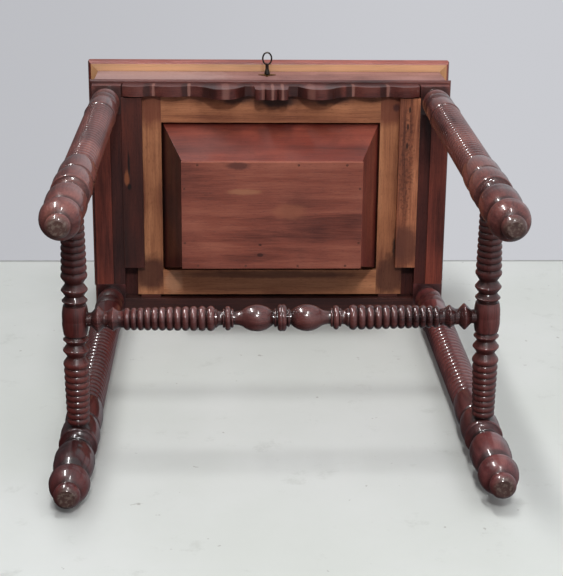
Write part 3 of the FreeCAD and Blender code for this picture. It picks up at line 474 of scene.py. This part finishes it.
def finish_frame():
    """The drawer's frame: tan wood, handled to a dark red brown at the corners. The gaps are
    colour only, and the shade on the rails is painted: it does not move with the light."""
    under = spot("drawer_stile_left", (0, 0, 0))[2]
    dark, brown = (70, 30, 23), (118, 60, 43)
    stains = [((-0.163, -0.120, under), (0.03, 0.030, 0.02), brown, 0.8),
              ((-0.172, 0.118, under), (0.03, 0.028, 0.02), dark, 0.85),
              ((-0.180, 0.010, under), (0.005, 0.05, 0.02), brown, 0.7),
              ((0.162, -0.122, under), (0.03, 0.030, 0.02), brown, 0.8),
              ((0.172, 0.122, under), (0.03, 0.032, 0.02), dark, 0.8),
              ((0.1735, -0.1196, under), (0.006, 0.006, 0.01), (80, 40, 36), 0.9)]
    gaps = [((0.180, 0.080, under), (0.007, 0.022, 0.01), (30, 18, 16), 0.95),
            ((0.181, 0.055, under), (0.005, 0.022, 0.01), (30, 18, 16), 0.95),
            ((0.182, 0.035, under), (0.003, 0.015, 0.01), (30, 18, 16), 0.95),
            ((0.1815, -0.030, under), (0.003, 0.014, 0.01), (34, 20, 18), 0.9)]
    finish(wood("stile_wood", "y", PALE, gloss=0.5, varnish=0.1, patches=stains + gaps, grime_and_shade=0.35),
           "drawer_stile_left", "drawer_stile_right")
    # Painted shade: a dark strip beside the front, three scallop shadows, a darker middle on the
    # rear rail, a dark strip beside the opening; also a pale patch at the rear rail's left end.
    shade = [((0.02, -0.134, under), (0.16, 0.013, 0.02), (78, 40, 30), 0.6),
             ((0.022, 0.136, under), (0.105, 0.030, 0.02), (130, 84, 62), 0.2),
             ((-0.048, -0.133, under), (0.026, 0.010, 0.02), (54, 27, 20), 0.7),
             ((0.010, -0.131, under), (0.027, 0.014, 0.02), (50, 25, 19), 0.9),
             ((0.080, -0.133, under), (0.030, 0.010, 0.02), (54, 27, 20), 0.7),
             ((-0.137, 0.132, under), (0.014, 0.020, 0.02), (206, 152, 118), 0.5),
             ((0.0, 0.122, under), (0.15, 0.006, 0.02), (84, 44, 30), 0.6)]
    finish(wood("frame_rail_wood", "x", PALE, gloss=0.5, varnish=0.1, patches=shade, grime_and_shade=0.35),
           "drawer_rail_front", "drawer_rail_rear")


def finish_metal():
    """Brass fittings, steel screws and bolt, and iron nails and key."""
    finish(metal("brass", (196, 150, 84), (96, 66, 38)), "hinge_leaves_lower", "hinge_leaves_upper",
           "hinge_pins", "lock_plate", "lock_case", "link_plate")
    finish(metal("escutcheon_brass", (150, 112, 70), (60, 40, 28), 0.4), "escutcheon")
    finish(metal("steel", (150, 146, 140), (80, 66, 56)), "hinge_screws_lower",
           "hinge_screws_upper", "lock_screws", "link_screws", "lock_bolt")
    finish(metal("nail_iron", (112, 64, 52), (84, 46, 38), 0.6, metallic=0.1), "hopper_nails")
    finish(metal("key_iron", (74, 68, 64), (36, 30, 28), 0.3), "key")


# ---------------------------------------------------------------- stage

def plane(name, corners):
    mesh = bpy.data.meshes.new(name)
    mesh.from_pydata(corners, [], [(0, 1, 2, 3)])
    piece = bpy.data.objects.new(name, mesh)
    bpy.context.scene.collection.objects.link(piece)
    return piece


FLOOR_REACH = 3.0          # half the width of the floors
FLOOR_GAP = 0.0005         # between the table and the floor behind it
FLOOR_PAST_TOP = 0.141     # how far the floor behind the table goes on past its top


def floor_finish(name, end):
    """Pale painted concrete that shows from its front only, with a dark line at its far end."""
    recipe = Recipe(name)
    cloud = recipe.noise(recipe.place, 3.2, 5, 0.6)
    scuffs = recipe.step(recipe.noise(recipe.place, 24, 6, 0.7), 0.58, 0.74)
    colour = recipe.mix(recipe.step(cloud, 0.3, 0.7), srgb(203, 206, 201), srgb(211, 213, 210))
    colour = recipe.mix(recipe.times(scuffs, 0.4), colour, srgb(176, 178, 172))
    specks = recipe.step(recipe.noise(recipe.place, 75, 2, 0.5), 0.74, 0.78)
    colour = recipe.mix(recipe.times(specks, 0.5), colour, srgb(120, 114, 106))
    seam = recipe.step(recipe.part(recipe.place, "z"), end - 0.010, end - 0.004)
    colour = recipe.mix(recipe.times(seam, 0.6), colour, srgb(96, 94, 94))
    recipe.feed(recipe.shader.inputs["Base Color"], colour)
    recipe.shader.inputs["Roughness"].default_value = 0.42
    clear = recipe.add("ShaderNodeBsdfTransparent")
    choice = recipe.add("ShaderNodeMixShader")
    recipe.feed(choice.inputs[0], recipe.add("ShaderNodeNewGeometry").outputs["Backfacing"])
    recipe.feed(choice.inputs[1], recipe.shader.outputs[0])
    recipe.feed(choice.inputs[2], clear.outputs[0])
    recipe.feed(recipe.tree.nodes["Material Output"].inputs["Surface"], choice.outputs[0])
    return recipe.material


def make_floors():
    """The table is seen lying on its back, so one floor is behind it, and the other is under its
    feet for every view of it standing. Each shows only from its own side, and lights nothing."""
    low, high = cad_box
    behind, reach, wall = high[1] + FLOOR_GAP, FLOOR_REACH, high[2] + FLOOR_PAST_TOP
    back_floor = plane("back_floor", [(-reach, behind, -reach), (reach, behind, -reach),
                                      (reach, behind, wall), (-reach, behind, wall)])
    foot_floor = plane("foot_floor", [(-reach, -reach, low[2]), (reach, -reach, low[2]),
                                      (reach, reach, low[2]), (-reach, reach, low[2])])
    for floor in (back_floor, foot_floor):
        floor.data.materials.append(floor_finish(floor.name + "_paint", wall))
        floor.visible_diffuse = False
        floor.visible_glossy = False
        floor.visible_transmission = False
        floor.visible_shadow = False


def aimed(place, target, up):
    """A placement that looks from the place at the target."""
    back = (Vector(place) - Vector(target)).normalized()
    right = Vector(up).cross(back).normalized()
    turn = Matrix((right, back.cross(right), back)).transposed()
    return Matrix.Translation(place) @ turn.to_4x4()


EYE, LOOKED_AT, UPWARDS = (-0.0553, -0.5461, -1.4335), (0.0190, 0.1634, 0.7), (-0.0092, -1, 0)
FOCAL_LENGTH = 95.27       # millimetres


def make_camera():
    """Looks up at the underside from near the feet, with the front of the table on top."""
    lens = bpy.data.cameras.new("camera")
    lens.lens = FOCAL_LENGTH
    camera = bpy.data.objects.new("camera", lens)
    camera.matrix_world = aimed(EYE, LOOKED_AT, UPWARDS)
    bpy.context.scene.collection.objects.link(camera)
    bpy.context.scene.camera = camera


LIT_POINT = (0, 0, 0.4)


def area_light(name, place, width, height, power, glossy=True, diffuse=True):
    """A rectangular light that faces the table. It can be left out of reflections (glossy) or
    give no light but its glint (diffuse)."""
    light = bpy.data.lights.new(name, "AREA")
    light.shape = "RECTANGLE"
    light.size, light.size_y = width, height
    light.energy = power
    lamp = bpy.data.objects.new(name, light)
    lamp.matrix_world = aimed(place, LIT_POINT, (0, 0, 1))
    lamp.visible_glossy = glossy
    lamp.visible_diffuse = diffuse
    bpy.context.scene.collection.objects.link(lamp)


def make_lights():
    """Two ceiling lights that throw the soft shadows, of which the near one also glints; two tubes
    that only glint; and wide lights that make no reflections."""
    area_light("ceiling_light", (-0.33, -3.3, 0.25), 0.25, 1.3, 42, glossy=False)
    area_light("near_ceiling_light", (0.0, -2.1, -2.4), 0.35, 0.35, 40)
    area_light("ceiling_tube", (-1.35, -3.2, 0.7), 0.14, 2.4, 100, diffuse=False)
    area_light("near_tube", (0.35, -3.3, -1.4), 0.12, 1.2, 32, diffuse=False)
    area_light("wide_ceiling", (0.9, -3.0, -0.9), 3.0, 3.0, 36, glossy=False)
    area_light("back_light", (0.8, 2.4, 1.6), 1.6, 1.6, 16, glossy=False)
    area_light("top_light", (0, -0.2, 2.8), 1.8, 1.8, 12, glossy=False)


def background(tree, tone, strength):
    shader = tree.nodes.new("ShaderNodeBackground")
    shader.inputs["Color"].default_value = srgb(*tone)
    tree.links.new(strength, shader.inputs["Strength"])
    return shader.outputs[0]


def uneven(tree, axis, low, high, start, end):
    """A strength that goes from start to end as a ray turns from low to high along an axis."""
    place = tree.nodes.new("ShaderNodeTexCoord")
    parts = tree.nodes.new("ShaderNodeSeparateXYZ")
    tree.links.new(place.outputs["Generated"], parts.inputs[0])
    share = tree.nodes.new("ShaderNodeMapRange")
    share.interpolation_type = "SMOOTHSTEP"
    tree.links.new(parts.outputs[AXES[axis]], share.inputs["Value"])
    for name, value in (("From Min", low), ("From Max", high), ("To Min", start), ("To Max", end)):
        share.inputs[name].default_value = value
    return share.outputs["Result"]


def product(tree, first, second):
    node = tree.nodes.new("ShaderNodeMath")
    node.operation = "MULTIPLY"
    tree.links.new(first, node.inputs[0])
    tree.links.new(second, node.inputs[1])
    return node.outputs[0]


def make_room():
    """A pale grey room: one tone where the camera sees it, one in reflections, and one for the
    light it gives. It is dimmer towards -X and towards the floor behind the table, so that the
    turnings get a dark flank and a light one."""
    world = bpy.data.worlds.new("room")
    world.use_nodes = True
    tree = world.node_tree
    tree.nodes.remove(tree.nodes["Background"])
    ray = tree.nodes.new("ShaderNodeLightPath")
    above = uneven(tree, "y", -0.1, 0.4, 1.0, 0.35)
    given = product(tree, uneven(tree, "x", -0.6, 0.6, 0.3, 0.72), above)
    mirrored = product(tree, uneven(tree, "x", -0.4, 0.35, 0.08, 0.6), above)
    wall = uneven(tree, "x", -0.17, 0.17, 0.91, 1.05)
    shown = background(tree, (232, 234, 238), given)
    for kind, tone, strength in (("Is Glossy Ray", (226, 230, 236), mirrored),
                                 ("Is Camera Ray", (196, 197, 202), wall)):
        choice = tree.nodes.new("ShaderNodeMixShader")
        tree.links.new(ray.outputs[kind], choice.inputs[0])
        tree.links.new(shown, choice.inputs[1])
        tree.links.new(background(tree, tone, strength), choice.inputs[2])
        shown = choice.outputs[0]
    tree.links.new(shown, tree.nodes["World Output"].inputs["Surface"])
    bpy.context.scene.world = world
    bpy.context.scene.view_settings.view_transform = "Standard"


make_camera()
make_floors()
make_lights()
make_room()
finish_legs()
finish_case()
finish_lid()
finish_drawer()
finish_metal()
